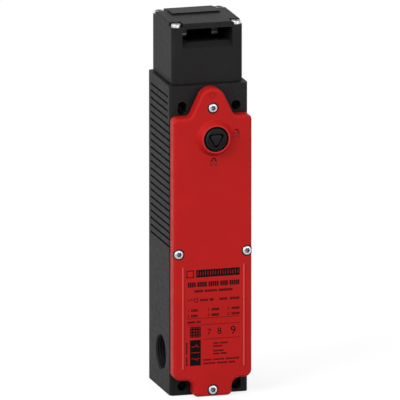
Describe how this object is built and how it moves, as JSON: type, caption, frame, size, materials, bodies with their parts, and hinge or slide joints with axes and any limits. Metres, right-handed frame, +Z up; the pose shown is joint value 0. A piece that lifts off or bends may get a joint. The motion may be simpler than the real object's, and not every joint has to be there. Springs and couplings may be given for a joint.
{
  "type": "tongue interlock switch",
  "caption": "Upright guard-locking safety switch: ribbed black body, red front cover with a key release, and a square head with a slot that takes an actuator tongue.",
  "frame": {"origin": "on the back mounting face, at the middle of the body's width and at the level of its foot", "axes": "+Z up towards the head, +X to the right of someone facing the cover, +Y into the mounting wall"},
  "size_m": [0.0434, 0.0555, 0.205],
  "materials": {
    "black_casting": "die-cast, black powder coat",
    "red_cover": "die-cast, red satin coat",
    "black_rubber": "matt",
    "zinc_screws": "bright zinc",
    "black_plastic": "fine satin",
    "bright_steel": "ground",
    "bronze": "plain",
    "copper_wire": "lacquered wire",
    "grey_moulding": "moulded"
  },
  "bodies": {
    "housing": {"body_housing": "black_casting", "cover_gasket": "black_rubber", "front_cover": "red_cover", "cover_screws": "zinc_screws", "head_housing": "black_casting", "head_gasket": "black_rubber", "slot_blanking_plug": "black_plastic", "head_screws": "zinc_screws", "cam_axle": "bright_steel", "plunger_bush": "bronze", "plunger_seal": "black_rubber", "contact_block": "grey_moulding", "fixed_contacts": "bronze", "terminal_screws": "zinc_screws", "contact_block_screws": "zinc_screws", "earth_screw": "zinc_screws", "plunger_spring": "bright_steel", "armature_spring": "bright_steel", "solenoid_yoke": "bright_steel", "coil_bobbin": "grey_moulding", "coil_winding": "copper_wire", "solenoid_pole": "bright_steel", "mechanism_frame": "grey_moulding", "frame_screws": "zinc_screws", "release_seal": "black_rubber"},
    "cam": {"cam_wheel": "bright_steel"},
    "drive": {"drive_plunger": "bright_steel", "drive_rod": "bright_steel", "contact_carriage": "grey_moulding", "contact_bridges": "bronze"},
    "solenoid_core": {"armature": "bright_steel", "armature_blade": "bright_steel"},
    "bolt": {"lock_bolt": "bright_steel", "lock_pin": "bright_steel"},
    "release": {"release_barrel": "black_plastic", "release_clip": "bright_steel", "release_finger": "bright_steel"}
  },
  "joints": [
    {"name": "cam_turn", "type": "hinge", "parent": "housing", "child": "cam", "pos_m": [0, -0.02075, 0.188], "axis": [-1, 0, 0], "range_deg": [0, 50]},
    {"name": "drive_slide", "type": "slide", "parent": "housing", "child": "drive", "axis": [0, 0, 1], "range_m": [0, 0.007], "deforming": ["plunger_spring"]},
    {"name": "armature_slide", "type": "slide", "parent": "housing", "child": "solenoid_core", "axis": [0, 0, 1], "range_m": [0, 0.004], "deforming": ["armature_spring"]},
    {"name": "bolt_slide", "type": "slide", "parent": "housing", "child": "bolt", "axis": [0, 1, 0], "range_m": [0, 0.004]},
    {"name": "release_turn", "type": "hinge", "parent": "housing", "child": "release", "pos_m": [0.0008, -0.0535, 0.143], "axis": [0, -1, 0], "range_deg": [0, 90]}
  ],
  "couplings": [
    {"joint": "drive_slide", "follows": "cam_turn", "m_per_rad": 0.0080214},
    {"joint": "bolt_slide", "follows": "armature_slide", "ratio": 1}
  ]
}
